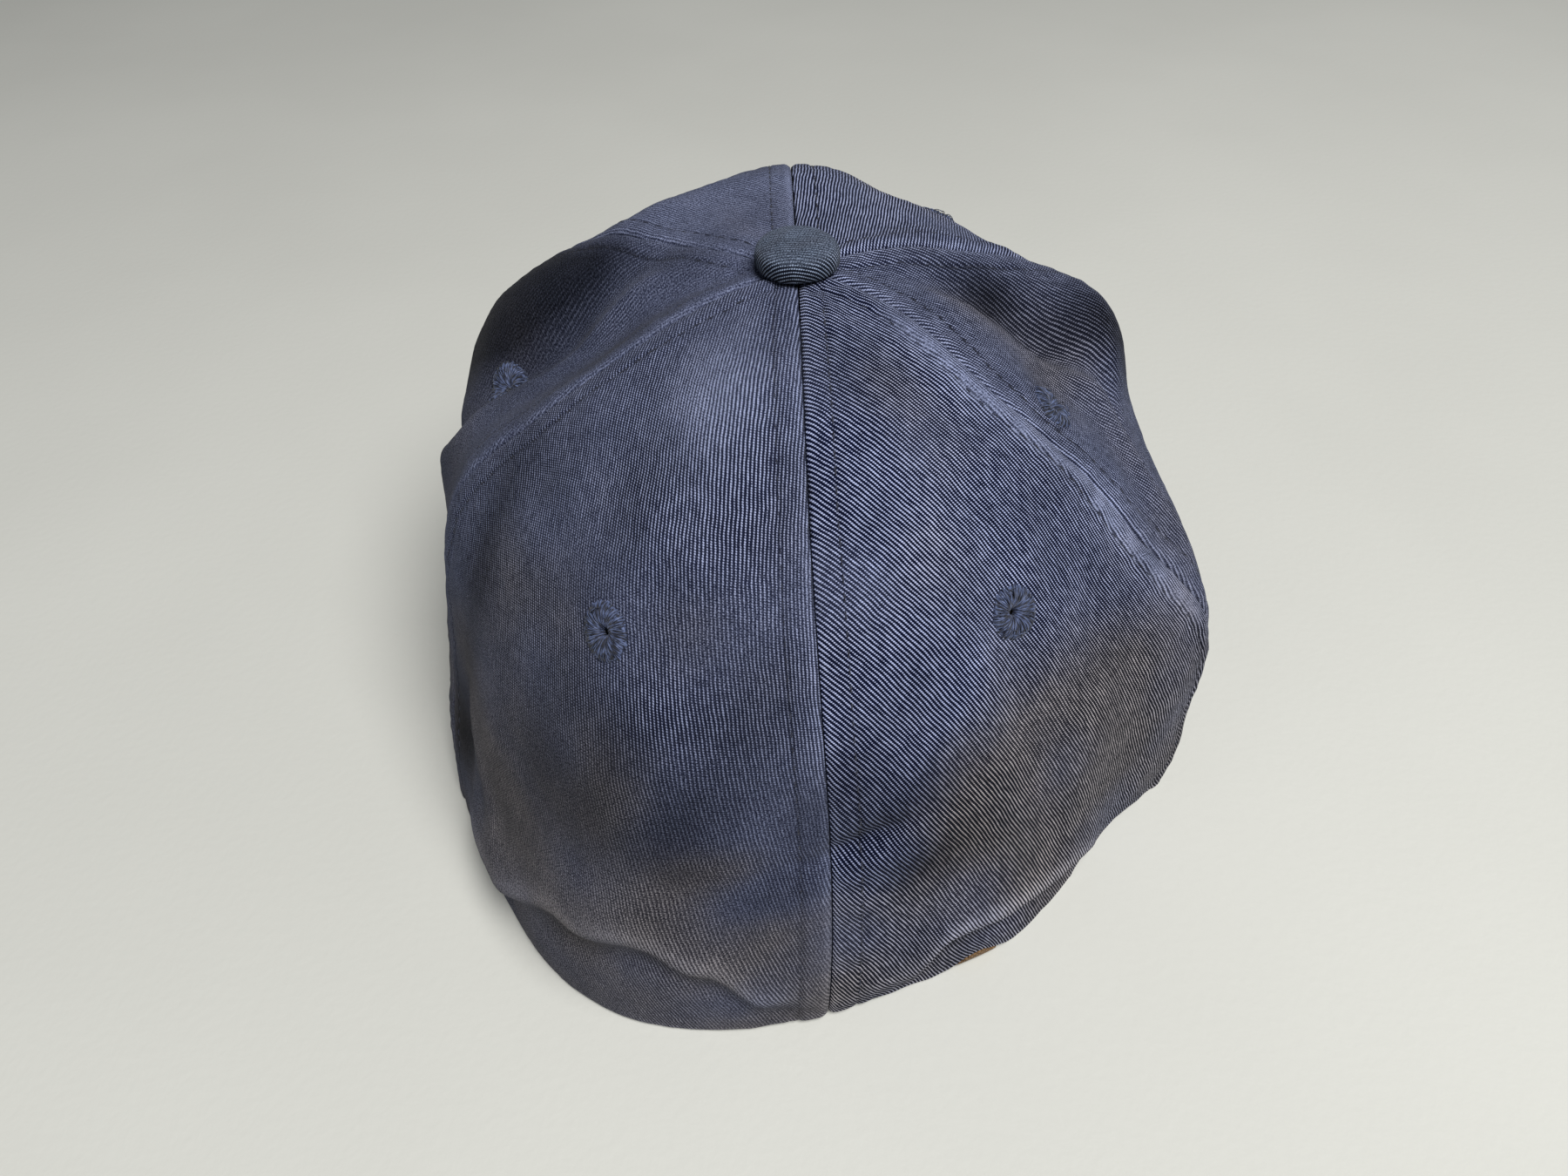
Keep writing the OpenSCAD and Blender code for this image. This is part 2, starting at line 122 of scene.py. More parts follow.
# Painted shade in valleys and under folds, and darker cloth: laid out like the faded patches
SHADE_AND_DARK_PATCHES = [(112, 0.29, 0.65, 10, 0.08), (107, 0.42, 1.0, 11, 0.1), (106, 0.53, 0.7, 9, 0.08),
         (-100, 0.29, 0.75, 11, 0.08), (-98, 0.42, 0.5, 8, 0.09), (-102, 0.52, 0.5, 8, 0.08),
         (62, 0.86, 0.95, 7, 0.09), (60, 0.55, 0.5, 6, 0.14), (-9, 0.7, 0.3, 9, 0.08),
         (26, 0.63, 0.2, 14, 0.12), (12, 0.67, 0.25, 10, 0.12), (-13, 0.79, 0.7, 5, 0.03),
         (-10, 0.7, 0.45, 6, 0.04),
         (5.5, 0.775, 0.3, 6, 0.03), (28, 0.67, 0.35, 26, 0.11), (-24, 0.23, 0.15, 13, 0.08),
         (28, 0.37, 0.16, 14, 0.08), (59, 0.55, 0.2, 7, 0.1), (-98, 0.53, 0.25, 8, 0.08),
         (75, 0.3, 0.25, 9, 0.15), (-70, 0.35, 0.25, 7, 0.12), (100, 0.45, 0.35, 22, 0.22)]
# How far the nap of each panel hides its twill lines
FELT = [0.42, 0.95, 0.75, 0.15, 0.3, 0.02]
# How far the cloth of each panel is turned, in degrees
GRAIN_TURN = [0, 0, 0, 0, 28, 0]
# Rubbed places, where the pale threads show more
RUBS = [(-39.5, 0.21, 0.2, 5, 0.06), (-44, 0.29, 0.2, 4.5, 0.06), (-52, 0.38, 0.2, 4.5, 0.08),
        (-59, 0.5, 0.2, 4.5, 0.08), (-62, 0.63, 0.2, 5, 0.1), (-20, 0.45, 0.3, 16, 0.2),
        (25, 0.22, 0.6, 15, 0.08), (20, 0.33, 0.1, 11, 0.07),
        (150, 0.3, 0.25, 30, 0.3), (210, 0.3, 0.3, 30, 0.3)]


def wrap(a):
    return (a + 180.0) % 360.0 - 180.0


def bell(x, w):
    return np.exp(-(x / w) ** 2)


def ease(f):
    return (1 - np.cos(np.pi * np.clip(f, 0, 1))) / 2


def mix(a, b, f):
    return a + (b - a) * f


def hills(table, th):
    """Sum of bells round the crown: rows of angle, height, width in degrees."""
    return sum(h * bell(wrap(th - a), w) for a, h, w in table)


def patches(table, th, t):
    """Sum of bells on the crown: angle, way down, height, width in degrees, share of the way."""
    return sum(h * bell(wrap(th - a), wa) * bell(t - b, wt) for a, b, h, wa, wt in table)


def table_at(table, x):
    """Value at x of a table of (x, value) rows, eased between them."""
    xs, ys = np.array(table, float).T
    k = np.clip(np.searchsorted(xs, x, side="right") - 1, 0, len(xs) - 2)
    return mix(ys[k], ys[k + 1], ease((x - xs[k]) / (xs[k + 1] - xs[k])))


def hem_radius(th):
    s, c = np.sin(np.radians(th)), np.cos(np.radians(th))
    reach = np.where(c > 0, HEM_BACK, HEM_FRONT)
    return 1 / np.sqrt((s / HEM_SIDE) ** 2 + (c / reach) ** 2) + hills(HEM_WAVES, th)


def hem_z(th):
    return FRONT_LIFT * ease((np.abs(wrap(th)) - FLAT_HEM_ANGLE) / (180 - FLAT_HEM_ANGLE))


def crown_point(th, t, off=0.0):
    """Outer face of the crown, moved outward by off."""
    th, t, off = np.broadcast_arrays(np.asarray(th, float), np.asarray(t, float), off)
    n = table_at(SHOULDER, np.abs(wrap(th)))
    low, reach = hem_z(th), hem_radius(th)
    rise = CROWN_H - low
    s, c = np.sin(t * np.pi / 2), np.maximum(np.cos(t * np.pi / 2), 0)
    rho = (s ** n + c ** n) ** (-1 / n)
    a, b = rho * s, rho * c
    nr, nz = a ** (n - 1) / reach, b ** (n - 1) / rise
    d = (patches(DENTS, th, t) * (1 - bell(t, 0.07)) + off) / np.hypot(nr, nz)
    r = reach * a + nr * d
    angle = np.radians(th)
    return np.stack([r * np.sin(angle), r * np.cos(angle), low + rise * b + nz * d], -1)


def ring_radius(th, t):
    p = crown_point(th, t)
    return np.hypot(p[..., 0], p[..., 1])


def degrees_of(width, th, t):
    """Degrees that a width takes up at a point of the crown."""
    return np.degrees(width / ring_radius(th, t))


def way_down(th, h):
    """t of the point that lies h above the hem."""
    n = table_at(SHOULDER, np.abs(wrap(th)))
    q = np.maximum(h, 0) / (CROWN_H - hem_z(th))
    return np.arctan2((1 - q ** n) ** (1 / n), q) / (np.pi / 2)


def wall_point(th, h, off):
    """Point of the crown wall h above the hem, or straight below the hem where h is negative."""
    p = crown_point(th, way_down(th, h), off)
    p[..., 2] += np.minimum(h, 0)
    return p


def seam(i, t):
    return SEAMS[i] + sum(d * bell(t - b, w) for b, d, w in SEAM_BOWS[i % 6]) + 0 * t


def ripple(seed, points, length, waves=26):
    """Smooth noise of about unit height, with bumps about length mm long."""
    rng = np.random.default_rng(seed)
    total = 0
    for _ in range(waves):
        direction = rng.normal(size=3)
        direction *= 2 * np.pi * rng.uniform(0.6, 1.6) / length / np.linalg.norm(direction)
        total = total + np.cos(points @ direction + rng.uniform(0, 2 * np.pi))
    return total * math.sqrt(2 / waves)


def slack(th, t):
    """Folds and creases of the soft crown, which all its layers follow."""
    q = t - table_at(ROLL_TRACK, wrap(th))
    roll = table_at(ROLL_HEIGHT, wrap(th)) * (
        np.where(q < 0, bell(q, 0.055), bell(q, 0.018)) - 0.4 * bell(q - 0.04, 0.02))
    folds = sum(h * bell(wrap(th - a), wa) * bell(t - b - lean * wrap(th - a), wt)
                for a, b, h, wa, wt, lean in FOLDS)
    folds = folds + hills(FLARES, th) * ease((t - 0.84) / 0.12)
    for side, track in SIDE_RIDGES:
        over = side * np.radians(wrap(th - table_at(track, t))) * ring_radius(th, t)
        ridge = 2.2 * np.where(over < 0, bell(over, 6), bell(over, 2.6)) - 1.8 * bell(over - 7, 4)
        folds = folds + ridge * ease((t - 0.14) / 0.12) * ease((0.8 - t) / 0.2)
    p = crown_point(th, t)
    free = ease((t - 0.12) / 0.2) * (1 - 0.6 * ease((t - 0.93) / 0.06))
    return roll + folds + free * (0.42 * ripple(3, p, 48) + 0.1 * ripple(4, p, 15))


def stitch_row(t):
    """Distance of the rows of topstitching from their seam."""
    return 4.7 + 1.3 * t


def hem_lift(th):
    return hills(HEM_LIFTS, th)


def seam_distances(i, th, t):
    """Distance of a point of panel i from the seam before it and from the seam after it."""
    scale = np.radians(1) * ring_radius(th, t)
    return (th - seam(i, t)) * scale, (seam(i + 1, t) - th) * scale


def panel_detail(i, th, t):
    """What the outer face of panel i has on top of its folds: seams, stitch rows, puckers."""
    before, after = seam_distances(i, th, t)
    p = crown_point(th, t)
    gather = 0.09 * ripple(20 + i, p, 7) + 0.05 * ripple(30 + i, p, 4)
    total = 0
    for d, lap in ((before, LAPS[i][0]), (after, LAPS[(i + 1) % 6][1])):
        total = total - 0.8 * bell(d, 0.8) + lap * ease((stitch_row(t) + 2 - d) / 3)
        total = total - 0.3 * bell(d - stitch_row(t), 0.5) + gather * bell(d - 5, 4.5)
    if i == 5:
        total = total + 0.4 * bell(before - 3.6, 1.9) * ease((t - 0.1) / 0.1)
    th0, t0 = EYELETS[i]
    away = np.linalg.norm(p - crown_point(th0, t0), axis=-1)
    turn = np.arctan2(p[..., 2] - crown_point(th0, t0)[2], wrap(th - th0) * 1.5)
    pucker = 0.05 * np.cos(7 * turn + i) * bell(away - 6.5, 2.5)
    return total - 0.45 * bell(away, 6.0) + pucker + 0.035 * ripple(40 + i, p, 3.2)


def outer_off(i, th, t):
    return slack(th, t) + panel_detail(i, th, t)


def crown_layer(th, t, off):
    """A layer of the crown, lifted with the hem where the hem stands off the table."""
    p = crown_point(th, t, off)
    p[..., 2] += hem_lift(th) * ease((t - 0.94) / 0.06)
    return p


# ---- Meshes ----------------------------------------------------------------

def add_mesh(name, points, faces, uv, tone=None, sharp=55):
    """A mesh object from points in mm, with a UV map in tenths of a metre and a tone colour."""
    mesh = bpy.data.meshes.new(name)
    mesh.from_pydata((np.asarray(points, float) * MM).tolist(), [],
                     [[int(v) for v in f] for f in faces])
    corners = np.zeros(len(mesh.loops), np.int32)
    mesh.loops.foreach_get("vertex_index", corners)
    layer = mesh.uv_layers.new(name="cloth")
    layer.data.foreach_set("uv", (np.asarray(uv, float)[corners] * UV_SCALE).ravel())
    colour = np.zeros((len(points), 4)) if tone is None else tone
    attribute = mesh.color_attributes.new(name="tone", type="FLOAT_COLOR", domain="POINT")
    attribute.data.foreach_set("color", colour.ravel())
    mesh.shade_smooth()
    mesh.set_sharp_from_angle(angle=math.radians(sharp))
    mesh.validate()
    obj = bpy.data.objects.new(name, mesh)
    bpy.context.scene.collection.objects.link(obj)
    return obj


def closed_sheet(name, outer, inner, uv, tone=None, ring=False, keep=None):
    """Closed cloth between two faces of (row, column) points. Rows go down, columns round."""
    rows, cols = outer.shape[:2]
    spans = cols if ring else cols - 1
    j, i = np.meshgrid(np.arange(rows - 1), np.arange(spans), indexing="ij")
    k = (i + 1) % cols
    quads = np.stack([j * cols + i, j * cols + k, (j + 1) * cols + k, (j + 1) * cols + i], -1)
    quads = quads.reshape(-1, 4) if keep is None else quads[keep]
    edges = np.concatenate([np.stack([quads[:, a], quads[:, (a + 1) % 4]], -1)
                            for a in range(4)])
    key = {tuple(e) for e in edges.tolist()}
    rim = np.array([e for e in edges.tolist() if (e[1], e[0]) not in key])
    count = rows * cols
    walls = np.stack([rim[:, 1], rim[:, 0], rim[:, 0] + count, rim[:, 1] + count], -1)
    faces = np.concatenate([quads, quads[:, ::-1] + count, walls])
    points = np.concatenate([outer.reshape(-1, 3), inner.reshape(-1, 3)])
    used = np.unique(faces)
    place = np.zeros(len(points), int)
    place[used] = np.arange(len(used))
    uv2 = np.concatenate([uv.reshape(-1, 2)] * 2)[used]
    tone2 = None if tone is None else np.concatenate([tone.reshape(-1, 4)] * 2)[used]
    return add_mesh(name, points[used], place[faces], uv2, tone2)


def tubes(name, paths, ups, radius, sides=6):
    """Threads along paths of (thread, point) positions. ups point away from the cloth, and
    radius is one number, or one for each point."""
    paths, ups = np.asarray(paths, float), np.asarray(ups, float)
    count, steps = paths.shape[:2]
    along = np.gradient(paths, axis=1)
    along /= np.linalg.norm(along, axis=-1, keepdims=True) + 1e-9
    across = np.cross(along, ups)
    across /= np.linalg.norm(across, axis=-1, keepdims=True) + 1e-9
    lift = np.cross(across, along)
    r = np.broadcast_to(radius, paths.shape[:2])[..., None, None]
    phi = np.linspace(0, 2 * np.pi, sides, endpoint=False)[:, None]
    points = paths[:, :, None] + r * (np.cos(phi) * across[:, :, None]
                                      + np.sin(phi) * lift[:, :, None])
    length = np.cumsum(np.linalg.norm(np.diff(paths, axis=1, prepend=paths[:, :1]), axis=-1), 1)
    uv = np.stack(np.broadcast_arrays(length[:, :, None] + 7.3 * np.arange(count)[:, None, None],
                                      np.arange(sides) / sides * 2.0), -1)
    faces = []
    for k in range(count):
        base = k * steps * sides
        for s in range(steps - 1):
            for a in range(sides):
                b = (a + 1) % sides
                low, high = base + s * sides, base + (s + 1) * sides
                faces.append((low + a, low + b, high + b, high + a))
        faces.append([base + a for a in reversed(range(sides))])
        faces.append([base + (steps - 1) * sides + a for a in range(sides)])
    return add_mesh(name, points.reshape(-1, 3), faces, uv.reshape(-1, 2), sharp=80)


def joined(objects, name):
    """One object from several that share a material."""
    bpy.ops.object.select_all(action="DESELECT")
    for o in objects:
        o.select_set(True)
    bpy.context.view_layer.objects.active = objects[0]
    bpy.ops.object.join()
    objects[0].name = objects[0].data.name = name
    return objects[0]


def finished(obj, material, slot, *replaced):
    """Gives a piece its material and its place in the frame."""
    obj.data.materials.clear()
    obj.data.materials.append(material)
    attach(obj, "root")
    if replaced:
        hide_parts(*replaced)


# ---- Materials -------------------------------------------------------------

def linear(*srgb):
    """Linear colour with alpha from 0 to 255 sRGB values."""
    c = np.array(srgb) / 255
    return (*np.where(c <= 0.04045, c / 12.92, ((c + 0.055) / 1.055) ** 2.4), 1.0)


class Shader:
    """A material's nodes, with short calls for the sums that its pattern needs."""

    def __init__(self, name, roughness=0.85, **sockets):
        self.material = bpy.data.materials.new(name)
        self.material.use_nodes = True
        self.tree = self.material.node_tree
        self.bsdf = self.tree.nodes["Principled BSDF"]
        self.bsdf.inputs["Roughness"].default_value = roughness
        for socket, value in sockets.items():
            self.bsdf.inputs[socket.replace("_", " ")].default_value = value

    def node(self, kind, **settings):
        n = self.tree.nodes.new(kind)
        for k, v in settings.items():
            setattr(n, k, v)
        return n

    def put(self, socket, value):
        if isinstance(value, bpy.types.NodeSocket):
            self.tree.links.new(value, socket)
        else:
            socket.default_value = value

    def math(self, operation, *values):
        n = self.node("ShaderNodeMath", operation=operation)
        for k, v in enumerate(values):
            self.put(n.inputs[k], v)
        return n.outputs[0]

    def add(self, a, b):
        return self.math("ADD", a, b)

    def mul(self, a, b):
        return self.math("MULTIPLY", a, b)

    def span(self, value, low, high, to_low=0.0, to_high=1.0):
        n = self.node("ShaderNodeMapRange", interpolation_type="SMOOTHSTEP")
        for k, v in enumerate((value, low, high, to_low, to_high)):
            self.put(n.inputs[k], v)
        return n.outputs[0]

    def blend(self, factor, a, b, kind="MIX"):
        n = self.node("ShaderNodeMix", data_type="RGBA", blend_type=kind)
        for socket, v in ((n.inputs[0], factor), (n.inputs[6], a), (n.inputs[7], b)):
            self.put(socket, v)
        return n.outputs[2]

    def vector(self, x, y, z=0.0):
        n = self.node("ShaderNodeCombineXYZ")
        for k, v in enumerate((x, y, z)):
            self.put(n.inputs[k], v)
        return n.outputs[0]

    def noise(self, where, scale, detail=2.0, roughness=0.5):
        n = self.node("ShaderNodeTexNoise")
        self.put(n.inputs["Vector"], where)
        self.put(n.inputs["Scale"], scale)
        self.put(n.inputs["Detail"], detail)
        self.put(n.inputs["Roughness"], roughness)
        return n.outputs["Fac"]

    def cloth(self):
        """The UV map's two directions in mm."""
        n = self.node("ShaderNodeUVMap", uv_map="cloth")
        split = self.node("ShaderNodeSeparateXYZ")
        self.put(split.inputs[0], n.outputs[0])
        return [self.mul(split.outputs[k], 1 / UV_SCALE) for k in (0, 1)]

    def place(self):
        """Position in the object, in metres."""
        return self.node("ShaderNodeTexCoord").outputs["Object"]

    def tone(self):
        n = self.node("ShaderNodeAttribute", attribute_name="tone")
        split = self.node("ShaderNodeSeparateColor")
        self.put(split.inputs[0], n.outputs["Color"])
        return [*split.outputs, n.outputs["Alpha"]]

    def finish(self, colour, height, depth):
        self.put(self.bsdf.inputs["Base Color"], colour)
        bump = self.node("ShaderNodeBump")
        self.put(bump.inputs["Strength"], 1.0)
        self.put(bump.inputs["Distance"], depth * MM)
        self.put(bump.inputs["Height"], height)
        self.put(self.bsdf.inputs["Normal"], bump.outputs[0])
        return self.material


TWILL_RELIEF, WEFT_COVER = 0.2, 0.32


def twill(name, pitch, lean, ground, pale, old_ground, old_pale):
    """Twill: pale weft floats in slanting lines over a darker ground, faded in patches.

    lean is the lines' angle from the way down the panel, in degrees."""
    s = Shader(name, 0.95, Sheen_Weight=0.04, Sheen_Roughness=0.45, Specular_IOR_Level=0.06)
    u, v = s.cloth()
    where = s.vector(u, v)
    fade, rub_and_highlight, dirt_and_shade, felt = s.tone()
    wobble = s.add(s.mul(s.noise(where, 0.07, 2), 1.2), s.mul(s.noise(where, 0.6, 2), 0.14))
    sin, cos = math.sin(math.radians(lean)), math.cos(math.radians(lean))
    across = s.add(s.add(s.mul(u, cos), s.mul(v, sin)), wobble)
    along = s.add(s.mul(u, -sin), s.mul(v, cos))
    line = s.math("FLOOR", s.mul(across, 1 / pitch))
    step = s.math("FRACT", s.add(s.mul(along, 1 / (0.72 * pitch)), s.mul(line, 0.38)))
    skew = s.mul(s.add(step, -0.5), 0.17)
    part = s.math("FRACT", s.add(s.mul(across, 1 / pitch), skew))
    ridge = s.math("SINE", s.mul(part, math.pi))
    bead = s.math("SINE", s.mul(step, math.pi))
    streak = s.noise(s.vector(s.mul(line, 3.7), s.mul(along, 0.34)), 1.0, 3, 0.6)
    fuzz = s.noise(where, 3.1, 3, 0.65)
    float_height = s.mul(ridge, s.add(0.72, s.mul(bead, 0.28)))
    level = s.add(s.add(float_height, s.mul(s.add(streak, -0.5), 0.45)),
                  s.add(s.mul(s.add(fuzz, -0.5), s.add(0.2, s.mul(felt, 0.8))), s.mul(rub_and_highlight, 0.25)))
    edge = 1 - WEFT_COVER
    shown = s.span(level, edge + 0.02, edge + 0.3)
    matted = s.mul(felt, 0.85)
    nap = s.mul(s.span(fuzz, 0.38, 0.66, 0.04, 0.37), s.add(1.0, s.mul(rub_and_highlight, 0.9)))
    shown = s.add(s.mul(shown, s.add(1.0, s.mul(matted, -1.0))), s.mul(matted, nap))
    blotch = s.noise(where, 0.045, 4, 0.6)
    worn = s.span(s.add(fade, s.mul(s.add(blotch, -0.5), 0.9)), -0.15, 1.15)
    base = s.blend(worn, linear(*ground), linear(*old_ground))
    top = s.blend(worn, linear(*pale), linear(*old_pale))
    colour = s.blend(shown, base, top)
    cloud = s.span(s.noise(where, 0.09, 3, 0.6), 0.25, 0.75, 0.84, 1.14)
    mottle = s.span(s.noise(where, 0.7, 3, 0.6), 0.3, 0.7, 0.9, 1.1)
    # Dirt and painted shade darken the cloth; rubbing and a painted highlight lighten it
    dirt_shade_and_rub = s.mul(s.add(1.0, s.mul(dirt_and_shade, -0.85)), s.add(1.0, s.mul(rub_and_highlight, 0.2)))
    shade = s.mul(s.mul(cloud, mottle), dirt_shade_and_rub)
    colour = s.blend(1.0, colour, s.vector(shade, shade, shade), "MULTIPLY")
    flattened = s.mul(float_height, s.add(1.0, s.mul(felt, -0.6)))
    height = s.add(flattened, s.mul(fuzz, 0.35))
    return s.finish(colour, height, TWILL_RELIEF)


def thread(name, dark, light, twist=0.5):
    """Spun thread: fine plies that wind round it."""
    s = Shader(name, 0.6, Sheen_Weight=0.15, Specular_IOR_Level=0.4)
    u, v = s.cloth()
    ply = s.math("SINE", s.mul(s.add(s.mul(u, 1 / twist), v), 2 * math.pi))
    fluff = s.noise(s.place(), 900, 3)
    shown = s.span(s.add(s.mul(ply, 0.25), s.mul(fluff, 1.1)), 0.3, 0.9)
    patch = s.span(s.noise(s.place(), 300, 2), 0.35, 0.65, 0.85, 1.1)
    colour = s.blend(1.0, s.blend(shown, linear(*dark), linear(*light)),
                     s.vector(patch, patch, patch), "MULTIPLY")
    return s.finish(colour, s.add(ply, fluff), 0.05)


def plain_weave(name, pitch, dark, light, depth=0.12, stain=0.2, open_weave=0.5):
    """Plain weave: two sets of threads, over and under each other."""
    s = Shader(name, 0.9, Sheen_Weight=0.08, Specular_IOR_Level=0.25)
    u, v = s.cloth()
    where = s.vector(u, v)
    warp = s.math("SINE", s.mul(u, math.pi / pitch))
    weft = s.math("SINE", s.mul(v, math.pi / pitch))
    over = s.mul(warp, weft)
    threads = s.math("MAXIMUM", s.math("ABSOLUTE", warp), s.math("ABSOLUTE", weft))
    height = s.add(threads, s.mul(over, 0.35))
    fluff = s.noise(where, 2.6, 3, 0.6)
    shown = s.span(s.add(s.mul(height, 0.7), s.mul(fluff, 0.6)), open_weave, open_weave + 0.6)
    blot = s.span(s.noise(where, 0.05, 4, 0.6), 0.3, 0.7, 1 - stain, 1.05)
    colour = s.blend(1.0, s.blend(shown, linear(*dark), linear(*light)),
                     s.vector(blot, blot, blot), "MULTIPLY")
    return s.finish(colour, height, depth)


def plastic(name, colour, shade):
    """Moulded board: a fine orange-peel skin."""
    s = Shader(name, 0.45)
    skin = s.noise(s.place(), 700, 3)
    mottle = s.span(s.noise(s.place(), 60, 3), 0.3, 0.7)
    return s.finish(s.blend(mottle, linear(*colour), linear(*shade)), skin, 0.06)


def steel(name):
    """Stamped tin-plated steel: fine turning marks and dull patches."""
    s = Shader(name, 0.34, Metallic=1.0)
    marks = s.noise(s.place(), 1500, 2)
    patches = s.span(s.noise(s.place(), 250, 3), 0.35, 0.65)
    return s.finish(s.blend(patches, linear(190, 190, 188), linear(150, 149, 146)), marks, 0.02)


def floor_paint(name):
    """Painted board, with faint brushed clouds."""
    s = Shader(name, 0.6, Specular_IOR_Level=0.2)
    clouds = s.span(s.noise(s.place(), 3.5, 4, 0.55), 0.3, 0.7)
    grain = s.noise(s.place(), 420, 3)
    return s.finish(s.blend(clouds, linear(221, 222, 217), linear(227, 228, 223)), grain, 0.08)


NAVY = twill("twill", 0.66, 23, (8, 15, 44), (174, 185, 224), (18, 20, 31), (186, 180, 184))
BUTTON_TWILL = twill("button_twill", 0.7, 86, (14, 20, 38), (172, 190, 220), (18, 22, 36),
                     (156, 166, 190))
TOPSTITCH = thread("topstitch_thread", (13, 17, 36), (46, 54, 84))
EMBROIDERY = thread("embroidery_thread", (12, 18, 40), (98, 112, 152), 3.0)
LINING = plain_weave("lining_weave", 0.55, (16, 20, 36), (58, 66, 92))
TAN = plain_weave("sweatband_cloth", 0.6, (72, 52, 33), (150, 117, 80), 0.16, 0.3)
TAN_THREAD = thread("tan_thread", (120, 92, 62), (176, 146, 108))
BUCKRAM = plain_weave("buckram_weave", 0.9, (150, 148, 140), (226, 224, 216), 0.25, 0.08, 0.75)
BOARD = plastic("board_plastic", (222, 222, 216), (208, 208, 202))
STEEL = steel("plated_steel")


# ---- Crown panels ----------------------------------------------------------

EDGE_COLS, MIDDLE_COLS = 13, 72
HEM_ROUND = 0.85
PANEL_ROWS = np.concatenate([np.linspace(PANEL_TOP, 0.98, 146),
                             1 - np.array([17, 14, 11.5, 9.5, 7.5, 6, 4.7, 3.5, 2.4, 1.4, 0.6, 0])
                             / 1000])


def panel_uv(i, th, t):
    """Where a point lies on the flat cloth of panel i: across its middle line, and down it."""
    middle = (SEAMS[i] + SEAMS[i + 1]) / 2
    ts = np.linspace(0, 1, 400)
    line = crown_point(middle, ts)
    fall = np.concatenate([[0], np.cumsum(np.linalg.norm(np.diff(line, axis=0), axis=-1))])
    c, o = t * np.pi / 2, np.radians(th - middle)
    u = hem_radius(middle) * np.arcsin(np.sin(c) * np.sin(o))
    down = np.arctan2(np.sin(c) * np.cos(o), np.maximum(np.cos(c), 0)) / (np.pi / 2)
    v, turn = np.interp(down, ts, fall), math.radians(GRAIN_TURN[i])
    return np.stack([u * math.cos(turn) - v * math.sin(turn),
                     u * math.sin(turn) + v * math.cos(turn)], -1)


def panel_tone(i, th, t):
    """Fading, rubbing and dirt of panel i, with painted shade and a painted highlight."""
    before, after = seam_distances(i, th, t)
    p = crown_point(th, t)
    beside = bell(np.minimum(before, after), 11)
    fade = 0.02 + 0.66 * ease((t - 0.60) / 0.28) + patches(FADES, th, t)
    fade = fade - 0.2 * beside * (1 - ease((t - 0.7) / 0.2))
    fade = fade + 0.12 * ripple(50, p, 30)
    rub_and_highlight = patches(RUBS, th, t) + 0.3 * bell(np.minimum(before, after) - 0.9, 0.7)
    rub_and_highlight = rub_and_highlight + 0.5 * bell(t - 1, 0.006)
    # Painted shade along the sunk stitch rows, and in the valleys and under folds from the shade
    # patches
    rows = bell(before - stitch_row(t), 0.45) + bell(after - stitch_row(t), 0.45)
    dirt_and_shade = patches(SHADE_AND_DARK_PATCHES, th, t) + 0.3 * rows + 0.08 * ripple(51, p, 24)
    # On the roll: a pale line along its crest, wear and a painted highlight, and painted shade just
    # below it
    q = t - table_at(ROLL_TRACK, wrap(th))
    rub_and_highlight = rub_and_highlight + 0.25 * table_at(ROLL_HEIGHT, wrap(th)) * bell(q + 0.005, 0.014)
    dirt_and_shade = dirt_and_shade + 0.12 * table_at(ROLL_HEIGHT, wrap(th)) * bell(q - 0.03, 0.018)
    felt = FELT[i] * (1 + 0.9 * ease((t - 0.55) / 0.15)) + 0.12 * ripple(52, p, 28)
    if i == 5:
        crest = bell(before - 4, 1.8) * ease((t - 0.13) / 0.08) * ease((0.78 - t) / 0.1)
        crest = crest * (1 + 0.35 * ripple(53, p, 6))
        rub_and_highlight, felt = rub_and_highlight + 0.55 * crest, felt + 0.7 * crest
    return np.clip(np.stack([fade, rub_and_highlight, dirt_and_shade, felt], -1), 0, 1)


def panel_edges(i, t):
    """Angles at which panel i starts and ends, clear of its two seams."""
    first, last = seam(i, t), seam(i + 1, t)
    return first + degrees_of(SEAM_GAP / 2, first, t), last - degrees_of(SEAM_GAP / 2, last, t)


def outside_hole(i, th, t):
    """Which quads of a grid lie clear of eyelet i's hole."""
    solid = np.linalg.norm(crown_point(th, t) - crown_point(*EYELETS[i]), axis=-1) > PANEL_HOLE_R
    return solid[:-1, :-1] & solid[1:, :-1] & solid[:-1, 1:] & solid[1:, 1:]


